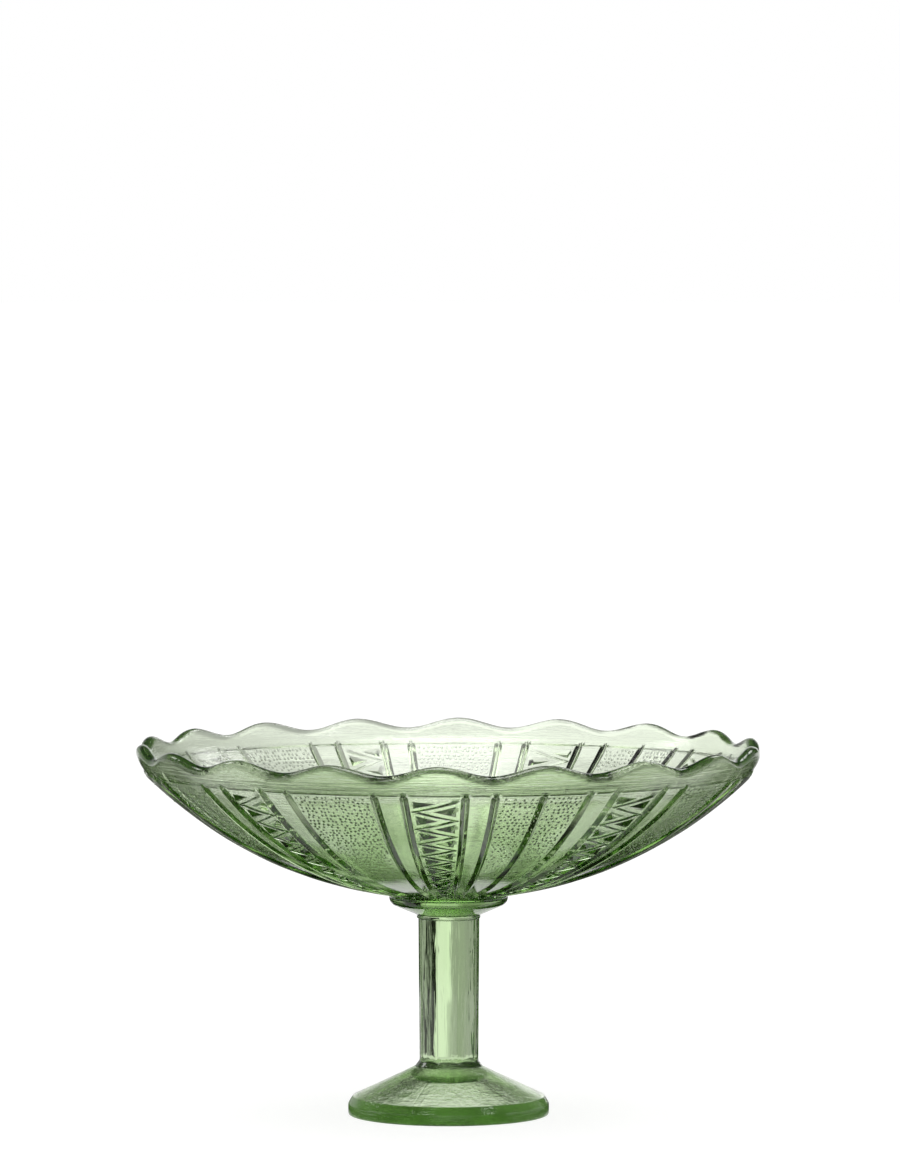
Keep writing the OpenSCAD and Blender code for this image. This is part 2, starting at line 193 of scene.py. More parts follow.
# A rib grows to its full width beyond the hub and narrows to its tip from just inside the ring line
rib_grow, tip_in, tip_out = 1.9, 0.9, 1.4
rib_calm, rib_room = 4, 0.4
RIB_BLUNT, ZIGZAG_BLUNT = 0.09, 0.12
RIB_ACROSS = (-1, -0.93, -0.7, -0.45, -0.24, -0.13, -0.05, 0.05, 0.13, 0.24, 0.45, 0.7, 0.93, 1)
LINE_ACROSS = (-1, -0.55, -0.14, 0.14, 0.55, 1)
rib_rows = np.concatenate([
    [hub_r, hub_r + 0.25, hub_r + 0.9, hub_r + rib_grow],
    np.linspace(hub_r + 3.2, ring_r - 2.2, 40),
    ring_r + np.array([-tip_in, -0.35, *ring_rows, tip_out]),
])
turn_count = int(2 * ((ring_r - zigzag_start - hub_r - 1) // zigzag_pitch))
miter = 2 * zigzag_w / zigzag_pitch
tip_clip = 0.35
plain_gap = 2.7
# Pips stand from 60 mm outwards. They would be worn lowest at 58 mm and are fresh 46 mm further out
pip_gap, pip_from, worn_r, worn_reach = 1.75, 60, 58, 46
pip_r_worn, pip_r_more = 0.36, 0.18
pip_h_worn, pip_h_more = 0.08, 0.58
pip_sides = 6


def ridge_shape(u, blunt):
    """Across a ridge with two flat flanks and a blunt back: 1 in the middle and 0 at its feet."""
    return (math.hypot(1, blunt) - math.hypot(u, blunt)) / (math.hypot(1, blunt) - blunt)


def degrees(width, r):
    """The angle that a width takes up at a radius."""
    return np.degrees(width / r)


def fade(r, inner_share):
    """Shrinks evenly from 1 at the ring line to a share at the hub."""
    return 1 - (1 - inner_share) * np.maximum(0, (ring_r - r) / (ring_r - hub_r))


def base_height(r):
    """The plain rim stands proud of the patterned wall, behind the bead of the ring line."""
    out = r - ring_r
    return smooth(out / ring_ramp) * (ring_step + ring_bead * (1 - smooth((out - ring_ramp) / ring_bead_w)))


def outside(angle, r, h):
    """Points of the bowl's outside: direction, radius in plan, and height over the plain wall."""
    inner = r <= ring_r
    lip_r = lip_curve_r - ring_step
    on_wall = np.arcsin(np.minimum(r / bowl_curve_r, 1))
    on_lip = np.arcsin(np.clip((r - lip_centre_r) / lip_r, -1, 1))
    s = np.where(inner, on_wall, on_lip)
    k = np.where(inner, bowl_curve_r, lip_r) + h
    return around(
        angle,
        np.where(inner, 0, lip_centre_r) + k * np.sin(s),
        np.where(inner, bowl_centre_z, lip_centre_z) - k * np.cos(s),
    )


def beside_rib(r):
    """Half the width of a rib, with room beside it, in degrees."""
    return degrees(rib_w / 2 * fade(r, rib_inner_share) + rib_room, r)


class MouldPart:
    """The relief of one mould part in plan: points as direction, radius and height, and creases."""

    def __init__(self, number):
        self.number = number
        self.rng = np.random.default_rng(40 + number)
        self.points, self.creases, self.crisp, self.count = [], [], [], 0

    def add(self, angle, r, h=0.0):
        """Adds points and returns their numbers."""
        angle, r, h = (np.ravel(v).astype(float) for v in np.broadcast_arrays(angle, r, h))
        numbers = np.arange(angle.size) + self.count
        self.points.append(np.stack([angle, r, h], -1))
        self.count += angle.size
        return numbers

    def line(self, angle, r, h=0.0, crisp=False):
        """Adds points with creases between them."""
        n = self.add(angle, r, h)
        pairs = list(zip(n[:-1].tolist(), n[1:].tolist()))
        self.creases += pairs
        if crisp:
            self.crisp += pairs
        return n

    def rib(self, angle, seed, across=RIB_ACROSS):
        """A rib with flat flanks that runs from the hub to a pointed tip just over the ring line."""
        r = rib_rows
        hold = smooth((r - hub_r) / rib_calm) * smooth((ring_r + tip_out - r) / rib_calm)
        grow = np.clip((r - hub_r) / rib_grow, 0, 1)
        tip = np.clip((r - (ring_r - tip_in)) / (tip_out + tip_in), 0, 1)
        ends = np.sqrt(1 - (1 - grow) ** 2) * (1 - tip) ** 0.7
        half = rib_w / 2 * fade(r, rib_inner_share) * ends
        half = half * (1 + 0.03 * hold * wander(seed, r, spans=(17, 29)))
        drift = 0.06 * r / ring_r * hold * wander(seed + 50, r, spans=(23, 41))
        base = base_height(r)
        crest = np.maximum(rib_h * fade(r, rib_inner_share), base)
        crest = crest * (1 + 0.04 * hold * wander(seed + 90, r, spans=(19, 31)))
        # Only one line of the rib holds the two points where all of them meet
        spine = 0 if 0 in across else across[len(across) // 2]
        for u in across:
            high = base + (crest - base) * ridge_shape(u, RIB_BLUNT) * np.minimum(1, ends * 1.15)
            high[0], high[-1] = 0, ring_step
            at = angle + degrees(drift + u * half, r)
            kept = slice(0, None) if u == spine else slice(1, -1)
            self.line(at[kept], r[kept], high[kept], crisp=abs(u) == 1)

    def band(self, centre, half, seed):
        """A zigzag line between two ribs, with a three-sided pyramid in each cell."""
        def place(u, r):
            rib_edge = degrees(rib_w / 2 * fade(r, rib_inner_share), r)
            gutter = degrees(gutter_w * fade(r, gutter_inner_share), r)
            return centre + u * (half - rib_edge - gutter)

        def turn_r(k):
            return ring_r - zigzag_start - k * zigzag_pitch / 2

        def side(k):
            return 1 if k % 2 == 0 else -1

        def plan(u, r):
            a = math.radians(place(u, r))
            return np.array([r * math.cos(a), r * math.sin(a)])

        def turn_u(k, t):
            """Place of a line of the zigzag at a turn. The outer side is cut short by the rib."""
            out = side(k) * t
            return side(k) * (1 - miter * tip_clip * (1 - max(out, 0)) + miter * min(out, 0))

        steps = np.array([0, 0.07, 0.22, 0.4, 0.6, 0.78, 0.93])
        for t in LINE_ACROSS:
            stops = [plan(turn_u(k, t), turn_r(k)) for k in range(turn_count + 1)]
            legs = [a + (b - a) * steps[:, None] for a, b in zip(stops[:-1], stops[1:])]
            xy = np.concatenate(legs + [[stops[-1]]])
            r = np.hypot(*xy.T)
            high = zigzag_h * fade(r, relief_inner_share) * ridge_shape(t, ZIGZAG_BLUNT)
            high = high * (1 + 0.12 * wander(seed, r, spans=(5, 9)))
            high[0] = high[-1] = 0
            self.line(np.degrees(np.arctan2(xy[:, 1], xy[:, 0])), r, high, crisp=abs(t) == 1)
        for k in range(turn_count):
            near = plan(-side(k), turn_r(k - 1)) if k else plan(-1, ring_r - 0.7)
            turn = plan(turn_u(k, -side(k)), turn_r(k))
            cell = np.array([near, turn, plan(-side(k), turn_r(k + 1))])
            sides = np.linalg.norm(np.roll(cell, -1, 0) - np.roll(cell, -2, 0), axis=1)
            middle = (cell * sides[:, None]).sum(0) / sides.sum()
            corners = middle + (cell - middle) * pyramid_share
            corners = corners + self.rng.uniform(-0.06, 0.06, (3, 2))
            thirds = (0, 0.33, 0.67)
            base = [a + (b - a) * f for a, b in zip(corners, np.roll(corners, -1, 0)) for f in thirds]
            xy = np.array(base + [base[0]])
            n = self.line(np.degrees(np.arctan2(xy[:, 1], xy[:, 0])), np.hypot(*xy.T), 0.0, crisp=True)
            r = float(np.hypot(*middle))
            top = pyramid_h * float(fade(r, relief_inner_share)) * self.rng.uniform(0.85, 1.05)
            apex = self.add(math.degrees(math.atan2(middle[1], middle[0])), r, top)[0]
            ridges = [(int(n[3 * i]), int(apex)) for i in range(3)]
            self.creases += ridges
            self.crisp += ridges

    def plain(self, low, high, r_to):
        """Points on the smooth wall between two ribs, from the hub outwards."""
        for i, r in enumerate(np.arange(hub_r + 1.5, r_to, plain_gap)):
            a, b = low + beside_rib(r), high - beside_rib(r)
            wide = math.radians(b - a) * r
            if wide < 0.4:
                continue
            n = max(1, round(wide / plain_gap))
            at = a + (b - a) * (np.arange(n) + (0.5 if i % 2 else 0.35)) / n
            self.add(at, r)

    def stipple(self, low, high):
        """Small pointed pips, close together by the ring line and worn low nearer the hub."""
        kept = {}
        r = ring_r - 1.5
        while r > pip_from:
            fresh = smooth((r - worn_r) / worn_reach)
            size = pip_r_worn + pip_r_more * fresh
            a, b = low + beside_rib(r) + degrees(0.1, r), high - beside_rib(r) - degrees(0.1, r)
            many = int(math.radians(b - a) * r / pip_gap)
            for at in a + (b - a) * (np.arange(many) + self.rng.uniform(0.1, 0.9)) / max(many, 1):
                at = at + degrees(self.rng.uniform(-0.42, 0.42), r)
                pip_r = r + self.rng.uniform(-0.38, 0.38)
                width = size * self.rng.uniform(0.8, 1.15)
                height = (pip_h_worn + pip_h_more * fresh) * self.rng.uniform(0.6, 1.1)
                keep = self.rng.uniform() < 0.55 + 0.45 * fresh
                x, y = pip_r * math.cos(math.radians(at)), pip_r * math.sin(math.radians(at))
                cell = (int(x // 2), int(y // 2))
                close = any(
                    math.hypot(x - q[0], y - q[1]) < width + q[2] + 0.12
                    for i in (-1, 0, 1) for j in (-1, 0, 1) for q in kept.get((cell[0] + i, cell[1] + j), ())
                )
                if close or not keep or not a < at < b or pip_r > ring_r - tip_in:
                    continue
                kept.setdefault(cell, []).append((x, y, width))
                turn = self.rng.uniform(0, 360 / pip_sides)
                spokes = np.radians(turn + np.arange(0, 360, 360 / pip_sides))
                px, py = x + width * np.cos(spokes), y + width * np.sin(spokes)
                n = self.add(np.degrees(np.arctan2(py, px)), np.hypot(px, py)).tolist()
                foot = list(zip(n, n[1:] + n[:1]))
                self.creases += foot
                self.crisp += foot
                self.add(at, pip_r, height)
            r -= pip_gap * 0.86
        self.plain(low, high, pip_from - 1)

    def hub_and_ring(self, ribs):
        """The plain rows at the hub and along the ring line, clear of the ribs, and the part's outline."""
        even = np.arange(0, part_angle + 0.01, EVEN)
        for r in hub_rows:
            self.add(even[1:-1], r)
        fine = np.arange(FINE, part_angle, FINE)
        for r in ring_r + np.array([-0.4, *ring_rows, 1.2, skirt_row]):
            clear = [a for a in fine if all(abs(a - rib) > beside_rib(r) * 0.86 for rib in ribs)]
            if r > ring_r + tip_out:
                clear = fine
            self.add(clear, r, base_height(r))
        self.line(even, seat_r)
        self.line(np.arange(0, part_angle + 0.01, FINE), skirt_r, ring_step)
        for a in (0, part_angle):
            self.line([a, a, a, a], [seat_r, *hub_rows, hub_r])
            self.line([a, a, a], [ring_r + tip_out, ring_r + skirt_row, skirt_r], ring_step)

    def build(self):
        """The part's points on the bowl, its faces, and for each point its number in plan."""
        side_reach = side_band_half + strip_angle
        side_ribs = [side_band_angle + d for d in (-side_reach, -side_band_half, side_band_half, side_reach)]
        mid = part_angle / 2
        ribs = side_ribs + [mid - mid_band_half - strip_angle, mid - mid_band_half]
        ribs = ribs + [part_angle - a for a in reversed(ribs)]
        n = self.number
        # The part's edges run along the middle of its seam ribs, so each part has half of either
        self.rib(0.0, 200 + n, [0] + [u for u in RIB_ACROSS if u > 0])
        self.rib(part_angle, 200 + (n + 1) % mould_parts, [u for u in RIB_ACROSS if u < 0] + [0])
        for i, a in enumerate(ribs):
            self.rib(a, 300 + 20 * n + i)
        centres = (side_band_angle, mid, part_angle - side_band_angle)
        for i, (centre, half) in enumerate(zip(centres, (side_band_half, mid_band_half, side_band_half))):
            self.band(centre, half, 500 + 10 * n + i)
        edges = [0.0] + ribs + [part_angle]
        for low, high in zip(edges[:-1], edges[1:]):
            if abs(high - low - strip_angle) < 1e-6:
                self.plain(low, high, ring_r - 1.2)
            elif min(abs(low + high - 2 * centre) for centre in centres) > 0.1:
                self.stipple(low, high)
        self.hub_and_ring(edges)
        a, r, h = np.concatenate(self.points).T
        plan = np.stack([r * np.cos(np.radians(a)), r * np.sin(np.radians(a))], -1)
        found = delaunay_2d_cdt([Vector(p) for p in plan.tolist()], self.creases, [], 1, 1e-4)
        spots, faces, sources = found[0], found[2], found[3]
        where = np.array([s[0] if s else -1 for s in sources])
        points = outside(a + pattern_turn + part_angle * n, r, h)[where]
        # Points that the triangulation made where creases cross lie on the plain wall
        made = np.where(where < 0)[0]
        if len(made):
            new = np.array([list(spots[i]) for i in made])
            made_r = np.hypot(*new.T)
            made_angle = np.degrees(np.arctan2(new[:, 1], new[:, 0]))
            points[made] = outside(made_angle + pattern_turn + part_angle * n, made_r, base_height(made_r))
        return points, faces, where


def bowl_skin():
    """The whole bowl: three mould parts, the rim, the smooth inside and the seat on the collar."""
    skin = Skin()
    for number in range(mould_parts):
        part = MouldPart(number)
        points, faces, where = part.build()
        n = skin.add(points)
        skin.faces += [[int(n[v]) for v in reversed(face)] for face in faces]
        back = {int(w): int(n[i]) for i, w in enumerate(where) if w >= 0}
        skin.crisp += [(back[a], back[b]) for a, b in part.crisp if a in back and b in back]
    # The rim: outside of the lip, its round edge and its inside
    fine = pattern_turn + np.arange(0, 360, FINE)
    swing = np.cos(np.radians(wave_count * (fine - pattern_turn)))
    edge = np.arccos(math.cos(math.radians(rim_turn)) + wave_h / 2 * (1 - swing) / lip_mid_r)
    lip_r = lip_curve_r - ring_step
    start = math.asin((skirt_r - lip_centre_r) / lip_r)
    s0 = math.radians(ring_slope)
    rows = []

    def lip_row(s, r):
        return around(fine, lip_centre_r + r * np.sin(s), lip_centre_z - r * np.cos(s))

    for f in np.linspace(0, 1, 9):
        rows.append(lip_row(start + (edge - start) * f, lip_curve_r))
    bulge = lip_t / 2
    for t in np.radians(np.arange(15, 181, 15)):
        out = math.cos(t) * np.sin(edge) + math.sin(t) * np.cos(edge)
        up = math.sin(t) * np.sin(edge) - math.cos(t) * np.cos(edge)
        radius = lip_centre_r + lip_mid_r * np.sin(edge) + bulge * out
        rows.append(around(fine, radius, lip_centre_z - lip_mid_r * np.cos(edge) + bulge * up))
    for f in np.linspace(0, 1, 9)[1:]:
        rows.append(lip_row(edge + (s0 - edge) * f, lip_curve_r - lip_t))
    rows = [skin.add(row) for row in rows]
    skin.loft(rows)
    # The smooth inside
    even = pattern_turn + np.arange(0, 360, EVEN)
    inside = []
    for f in np.linspace(0.97, 0.03, 34):
        s = s0 * f
        z = bowl_centre_z - inner_curve_r * math.cos(s)
        inside.append(skin.add(around(even, inner_curve_r * math.sin(s), z)))
    skin.zip(rows[-1], fine, inside[0], even)
    skin.loft(inside)
    skin.fan(inside[-1], skin.add([[0, 0, bowl_centre_z - inner_curve_r]])[0])
    # The seat on the collar
    seat = [skin.add(around(even, seat_r * f, seat_z)) for f in (1, 0.66, 0.33)]
    skin.loft(seat, flip=True)
    skin.fan(seat[-1], skin.add([[0, 0, seat_z]])[0], flip=True)
    return skin


# --------------------------------------------------------------------------------------------------
# Collar, stem and foot
# --------------------------------------------------------------------------------------------------
SEAM_TURN, SEAM_W, SEAM_H = -112.0, 0.3, 0.12
COLLAR_COLUMNS, FOOT_COLUMNS = 192, 240


def columns(count):
    """Directions round the axis, with more of them at the three mould seams."""
    plain = [SEAM_TURN + 360 * i / count for i in range(count)]
    step = 360 / count
    beside = (-0.5, -0.25, -0.12, 0.12, 0.25, 0.5)
    extra = [SEAM_TURN + part_angle * i + step * f for i in range(mould_parts) for f in beside]
    return np.array(sorted(plain + extra))


def seam_ridge(angles, radius):
    """A fine ridge left where the mould's parts met."""
    off = (angles - SEAM_TURN + part_angle / 2) % part_angle - part_angle / 2
    return SEAM_H * np.exp(-((np.radians(off) * radius / SEAM_W) ** 2) * 2)


def rounded(profile, radii, steps=5):
    """A profile with each corner rounded to its own radius."""
    points = np.array(profile, float)
    made = [points[0]]
    for before, corner, after, radius in zip(points[:-2], points[1:-1], points[2:], radii):
        a, b = before - corner, after - corner
        la, lb = np.linalg.norm(a), np.linalg.norm(b)
        a, b = a / la, b / lb
        turn = math.acos(np.clip(a @ b, -1, 1)) / 2
        reach = min(radius / math.tan(turn), la * 0.49, lb * 0.49)
        if radius <= 0 or reach < 1e-4:
            made.append(corner)
            continue
        for t in np.linspace(0, 1, steps + 1):
            made.append(corner + a * reach * (1 - t) ** 2 + b * reach * t**2)
    made.append(points[-1])
    return np.array(made)


def filled_in(profile, longest):
    """The same profile with no step longer than this."""
    made = [profile[0]]
    for a, b in zip(profile[:-1], profile[1:]):
        n = max(1, math.ceil(np.linalg.norm(b - a) / longest))
        made += [a + (b - a) * (i + 1) / n for i in range(n)]
    return np.array(made)


def lathe(profile, count, has_seam):
    """A skin turned about the axis from a profile that runs up from the axis and back to it."""
    skin = Skin()
    angles = columns(count)
    rows = []
    for r, z in profile[1:-1]:
        proud = seam_ridge(angles, r) * float(has_seam(r, z))
        rows.append(skin.add(around(angles, r + proud, z)))
    skin.loft(rows)
    skin.fan(rows[0], skin.add([[0, 0, profile[0][1]]])[0], flip=True)
    skin.fan(rows[-1], skin.add([[0, 0, profile[-1][1]]])[0])
    return skin


def collar_skin():
    """A disc with a round edge, whose underside slopes down to the stem's neck."""
    edge_z = seat_z - collar_edge_drop
    edge_mid = collar_d / 2 - collar_edge_r
    neck_r = stem_top_d / 2 + neck_step
    rise, run = edge_z - collar_z, edge_mid - neck_r
    under = math.atan2(rise, run) - math.asin(collar_edge_r / math.hypot(rise, run))
    top = math.asin(collar_edge_drop / collar_edge_r)
    turns = np.linspace(under - math.pi / 2, top, 16)
    edge = [(edge_mid + collar_edge_r * math.cos(t), edge_z + collar_edge_r * math.sin(t)) for t in turns]
    profile = [(0, collar_z - JOIN), (neck_r - 0.06, collar_z - JOIN), (neck_r, collar_z), *edge,
               (seat_r - 0.07, seat_z + JOIN), (0, seat_z + JOIN)]
    profile = filled_in(np.array(profile), 1.5)
    return lathe(profile, COLLAR_COLUMNS, lambda r, z: collar_z < z < seat_z - 0.5 and r > neck_r)


def stem_skin():
    """The nine-sided column, flared where it stands on the foot and with a round neck under the collar."""
    skin = Skin()
    side_h = collar_z - neck_h - foot_h
    neck_z = collar_z - neck_h
    neck_r = stem_top_d / 2 + neck_step
    flat = math.cos(math.pi / stem_sides)
    # Close together by the corners, where the sides turn
    share = np.array([0, 0.02, 0.045, 0.08, 0.14, 0.25, 0.4, 0.6, 0.75, 0.86, 0.92, 0.955, 0.98])
    angles = np.concatenate([pattern_turn + 360 / stem_sides * (i + share) for i in range(stem_sides)])
    off = (angles - pattern_turn) % (360 / stem_sides) - 180 / stem_sides
    # The corners are worn back to this share. The larger the other two numbers, the tighter the bends
    corner_share, corner_bend, flare_bend = 0.985, 7, 6

    def side_r(z):
        """Radius of the nine flat sides with soft corners."""
        corner = (stem_foot_d + (stem_top_d - stem_foot_d) * (z - foot_h) / side_h) / 2
        sharp = np.exp(-(corner * flat / np.cos(np.radians(off)) - corner) * corner_bend)
        worn = math.exp(-(corner_share - 1) * corner * corner_bend)
        return -np.log(sharp + worn) / corner_bend + corner

    def flare_r(z):
        """Radius of the cone that the stem stands on."""
        return foot_top_r - (z - foot_h) / math.tan(math.radians(flare_slope))

    rows = [skin.add(around(angles, foot_top_r - 0.06, foot_h - JOIN))]
    flare_rows = np.array([0, 0.5, 0.9, 1.2, 1.4, 1.6, 1.8, 2.0, 2.2, 2.4, 2.7, 3.1, 3.6])
    side_rows = np.arange(foot_h + 5, neck_z - 1, 2.2)
    heights = np.concatenate([foot_h + flare_rows, side_rows, [neck_z - 0.5, neck_z - 0.15]])
    for z in heights:
        a, b = side_r(z), flare_r(z)
        r = np.log(np.exp(a * flare_bend) + np.exp(b * flare_bend)) / flare_bend
        r = np.where(np.abs(a - b) > 1.5, np.maximum(a, b), r)
        r = np.minimum(r, foot_top_r) if z == foot_h else r
        r = r + seam_ridge(angles, 11.5) * (z > foot_h + 0.2)
        rows.append(skin.add(around(angles, r, z)))
    rows.append(skin.add(around(angles, neck_r - 0.12, neck_z)))
    for z in (neck_z + 0.12, neck_z + 0.6, collar_z):
        rows.append(skin.add(around(angles, neck_r, z)))
    skin.loft(rows)
    skin.fan(rows[0], skin.add([[0, 0, foot_h - JOIN]])[0], flip=True)
    skin.fan(rows[-1], skin.add([[0, 0, collar_z]])[0])
    return skin


def foot_skin():
    """The spread foot with its bevelled band, and the hollow under it that leaves a ring to stand on."""
    foot_r = foot_d / 2
    corner_r = foot_r - bottom_edge_r
    ring_in_r = corner_r - rest_ring_w
    hollow = [(0, hollow_h), (hollow_mid_r, hollow_h), (ring_in_r, 0)]
    band = [(foot_r, 0), (foot_r, band_h - bevel_h), (foot_r - bevel_w, band_h)]
    top = [(shoulder_r, shoulder_z), (foot_top_r, foot_h), (0, foot_h)]
    profile = rounded(hollow + band + top, [4, 0.8, bottom_edge_r, 2.2, 0.5, 2.5, 0])
    profile = filled_in(profile, 1.6)

    def has_seam(r, z):
        """Where the seam shows: not near the axis, on the ring underneath or on the band's upright face."""
        return r > 18 and z > bottom_edge_r and z > 6.05 - (foot_r - r) * 9

    return lathe(profile, FOOT_COLUMNS, has_seam)


# --------------------------------------------------------------------------------------------------
# Glass
# --------------------------------------------------------------------------------------------------
class Wire:
    """A number or vector in a material, so that sums on it read as sums."""

    def __init__(self, finish, socket):
        self.finish, self.socket = finish, socket

    def math(self, operation, *others):
        return self.finish.node("ShaderNodeMath", {"operation": operation}, [self, *others])

    def __add__(self, other):
        return self.math("ADD", other)

    def __sub__(self, other):
        return self.math("SUBTRACT", other)

    def __rsub__(self, other):
        return self.finish.node("ShaderNodeMath", {"operation": "SUBTRACT"}, [other, self])

    def __mul__(self, other):
        return self.math("MULTIPLY", other)

    def __truediv__(self, other):
        return self.math("DIVIDE", other)

    def __pow__(self, other):
        return self.math("POWER", other)

    __radd__, __rmul__ = __add__, __mul__


class Finish:
    """A material or world and the one way its nodes are made."""

    def __init__(self, owner):
        self.owner = owner
        owner.use_nodes = True
        self.tree = owner.node_tree
        self.tree.nodes.clear()

    def node(self, kind, settings=None, values=None, out=0):
        """Makes a node: its settings, then the values or links of its sockets. Gives the outputs named."""
        made = self.tree.nodes.new(kind)
        for key, value in (settings or {}).items():
            setattr(made, key, value)
        for key, value in (values.items() if isinstance(values, dict) else enumerate(values or [])):
            if isinstance(value, Wire):
                self.tree.links.new(value.socket, made.inputs[key])
            else:
                made.inputs[key].default_value = value
        if isinstance(out, (list, tuple)):
            return [Wire(self, made.outputs[o]) for o in out]
        return Wire(self, made.outputs[out]) if len(made.outputs) else None

    def noise(self, vector, scale, detail=2.0, roughness=0.5):
        return self.node("ShaderNodeTexNoise", {}, {
            "Vector": vector, "Scale": scale, "Detail": detail, "Roughness": roughness})

    def remap(self, value, low, high, to_low=0.0, to_high=1.0):
        """Goes softly from one value to another as its input goes from low to high, and stays there."""
        soft = {"interpolation_type": "SMOOTHSTEP"}
        return self.node("ShaderNodeMapRange", soft, [value, low, high, to_low, to_high])

    def split(self, vector):
        return self.node("ShaderNodeSeparateXYZ", {}, [vector], out=(0, 1, 2))


# Heights in metres between which the stem's drawn streaks come in and go out
STEM_FROM, STEM_TO = (0.021, 0.023), (0.084, 0.0855)


def pressed_glass(name, tint, density, waviness, mottle, streaks, chill, chill_from, chill_to, deep, clear_z):
    """Green glass that is tinted by its depth, with the slight waves of a pressed surface, and chill marks.

    Heights are in metres. The surface itself has the deep tint below the clear zone and none above it:
    painted light and shade by height, the lower bowl greener and darker and the upper bowl paler.
    """
    finish = Finish(bpy.data.materials.new(name))
    place = finish.node("ShaderNodeTexCoord", out=3)
    x, y, z = finish.split(place)
    radius = (x * x + y * y) ** 0.5
    east, north = x / (radius + 0.001), y / (radius + 0.001)
    # Ripples that run round the axis, and streaks that run down the stem
    round_axis = finish.node("ShaderNodeCombineXYZ", {}, [east * 1.4, north * 1.4, (radius + z) * 220])
    down_stem = finish.node("ShaderNodeCombineXYZ", {}, [east * 1.2, north * 1.2, z * 10])
    ripple = finish.noise(round_axis, scale=5.0, detail=3.0, roughness=0.6)
    drawn = finish.noise(down_stem, scale=5.0)
    slow = finish.noise(place, scale=70.0, detail=1.0)
    fine = finish.noise(place, scale=260.0, detail=4.0, roughness=0.65)
    chilled = finish.remap(z, *chill_from) * finish.remap(z, *chill_to, 1.0, 0.0)
    on_stem = finish.remap(z, *STEM_FROM) * finish.remap(z, *STEM_TO, 1.0, 0.0)
    pressed = ripple * (chilled * (chill - streaks) + streaks) + fine * mottle
    height = slow * waviness + pressed * (1 - on_stem) + drawn * on_stem * 0.25
    bump = finish.node("ShaderNodeBump", {}, {"Strength": 1.0, "Distance": MM, "Height": height})
    # Painted light and shade: the deep tint low down, white above the clear zone, so the upper bowl looks
    # paler, as if brightly lit
    tint_and_painted_light = finish.node("ShaderNodeMix", {"data_type": "RGBA"}, {
        0: finish.remap(z, *clear_z), 6: (*deep, 1), 7: (1, 1, 1, 1)}, out=2)
    haze = finish.noise(place, scale=140.0, detail=3.0)
    glass = finish.node("ShaderNodeBsdfPrincipled", {}, {
        "Base Color": tint_and_painted_light, "Roughness": finish.remap(haze, 0.5, 0.8, 0.0, 0.04),
        "IOR": 1.51, "Transmission Weight": 1.0, "Normal": bump,
    })
    depth = finish.node("ShaderNodeVolumeAbsorption", {}, {"Color": (*tint, 1), "Density": density})
    finish.node("ShaderNodeOutputMaterial", {}, {"Surface": glass, "Volume": depth})
    return finish.owner


# A height that lies off the object leaves a zone open: the bowl is chilled from its ring line upwards, and
# the foot from its slope downwards
# The bowl's surface tint fades out between 0.092 and 0.128 m, painted light that leaves its upper part paler
bowl_glass = pressed_glass(
    "bowl_glass", tint=(0.36, 0.63, 0.05), density=56.0,
    waviness=0.05, mottle=0.02, streaks=0.025, chill=0.16,
    chill_from=(0.1285, 0.1315), chill_to=(0.5, 0.6), deep=(0.88, 1.0, 0.79), clear_z=(0.092, 0.128))
foot_glass = pressed_glass(
    "foot_glass", tint=(0.35, 0.62, 0.08), density=38.0,
    waviness=0.09, mottle=0.2, streaks=0.015, chill=0.14,
    chill_from=(-0.6, -0.5), chill_to=(0.0115, 0.015), deep=(0.97, 1.0, 0.94), clear_z=(0.5, 0.6))

glass_piece(bowl_skin(), "glass_bowl", "bowl", bowl_glass)
glass_piece(collar_skin(), "glass_collar", "collar", foot_glass)
glass_piece(stem_skin(), "glass_stem", "stem", foot_glass)
glass_piece(foot_skin(), "glass_foot", "foot", foot_glass)

# --------------------------------------------------------------------------------------------------
# Studio
# --------------------------------------------------------------------------------------------------
# Brightness, where 1 is white. From left to right each of four sides has a dim stretch, the stretch straight
# ahead, a bright panel, a dark gap, and a soft corner towards the next side
DIM, STRAIGHT, PANEL, GAP, CORNER = 0.52, 0.8, 1.2, 0.015, 0.5
# The room above the panels, the light overhead as it comes through the glass and as the glass mirrors it, and
# four lamps between the panels that are only mirrored
ROOM, OVERHEAD, OVERHEAD_MIRRORED, LAMP = 0.05, 2.3, 4.5, 5.0
# The table's glow: to the camera, through the glass where darkest and where brightest, and mirrored
TABLE_SEEN, TABLE_DARK, TABLE_BRIGHT, TABLE_MIRRORED = 0.9, 0.02, 1.25, 0.95
# Its glow under the foot and, through one wall, near the foot, and its own grey, on which the shadow falls
UNDER_FOOT, NEAR_ONE_WALL, TABLE_GREY = 0.87, 0.92, 0.25

scene = bpy.context.scene
scene.view_settings.view_transform = "Standard"
scene.cycles.use_denoising = True
scene.cycles.max_bounces = 40
scene.cycles.transmission_bounces = 40
scene.cycles.glossy_bounces = 12
scene.cycles.transparent_max_bounces = 16


def white(strength):
    """The plain white that the studio's lights are made of."""
    return {"Color": (1, 1, 1, 1), "Strength": strength}


def quarter(finish, x, y):
    """Bearing in degrees within the nearest of four sides."""
    bearing = x.math("ARCTAN2", y) * (180 / math.pi)
    return finish.node("ShaderNodeMath", {"operation": "WRAP"}, [bearing, 45.0, -45.0])


def panels(finish, bearing, straight):
    """Brightness round the horizon on each of the four sides, given that of the stretch straight ahead."""
    lit = finish.remap(bearing, -12.0, -2.0, DIM, straight)
    lit = lit + (PANEL - straight) * finish.remap(bearing, 3.0, 10.0)
    before_gap = finish.remap(bearing, 15.0, 21.0, 1.0, 0.0)
    right_corner = finish.remap(bearing, 33.0, 44.0, 0.0, CORNER - GAP)
    left_corner = finish.remap(bearing, -38.0, -33.0, CORNER - DIM, 0.0)
    return (lit - GAP) * before_gap + GAP + right_corner + left_corner


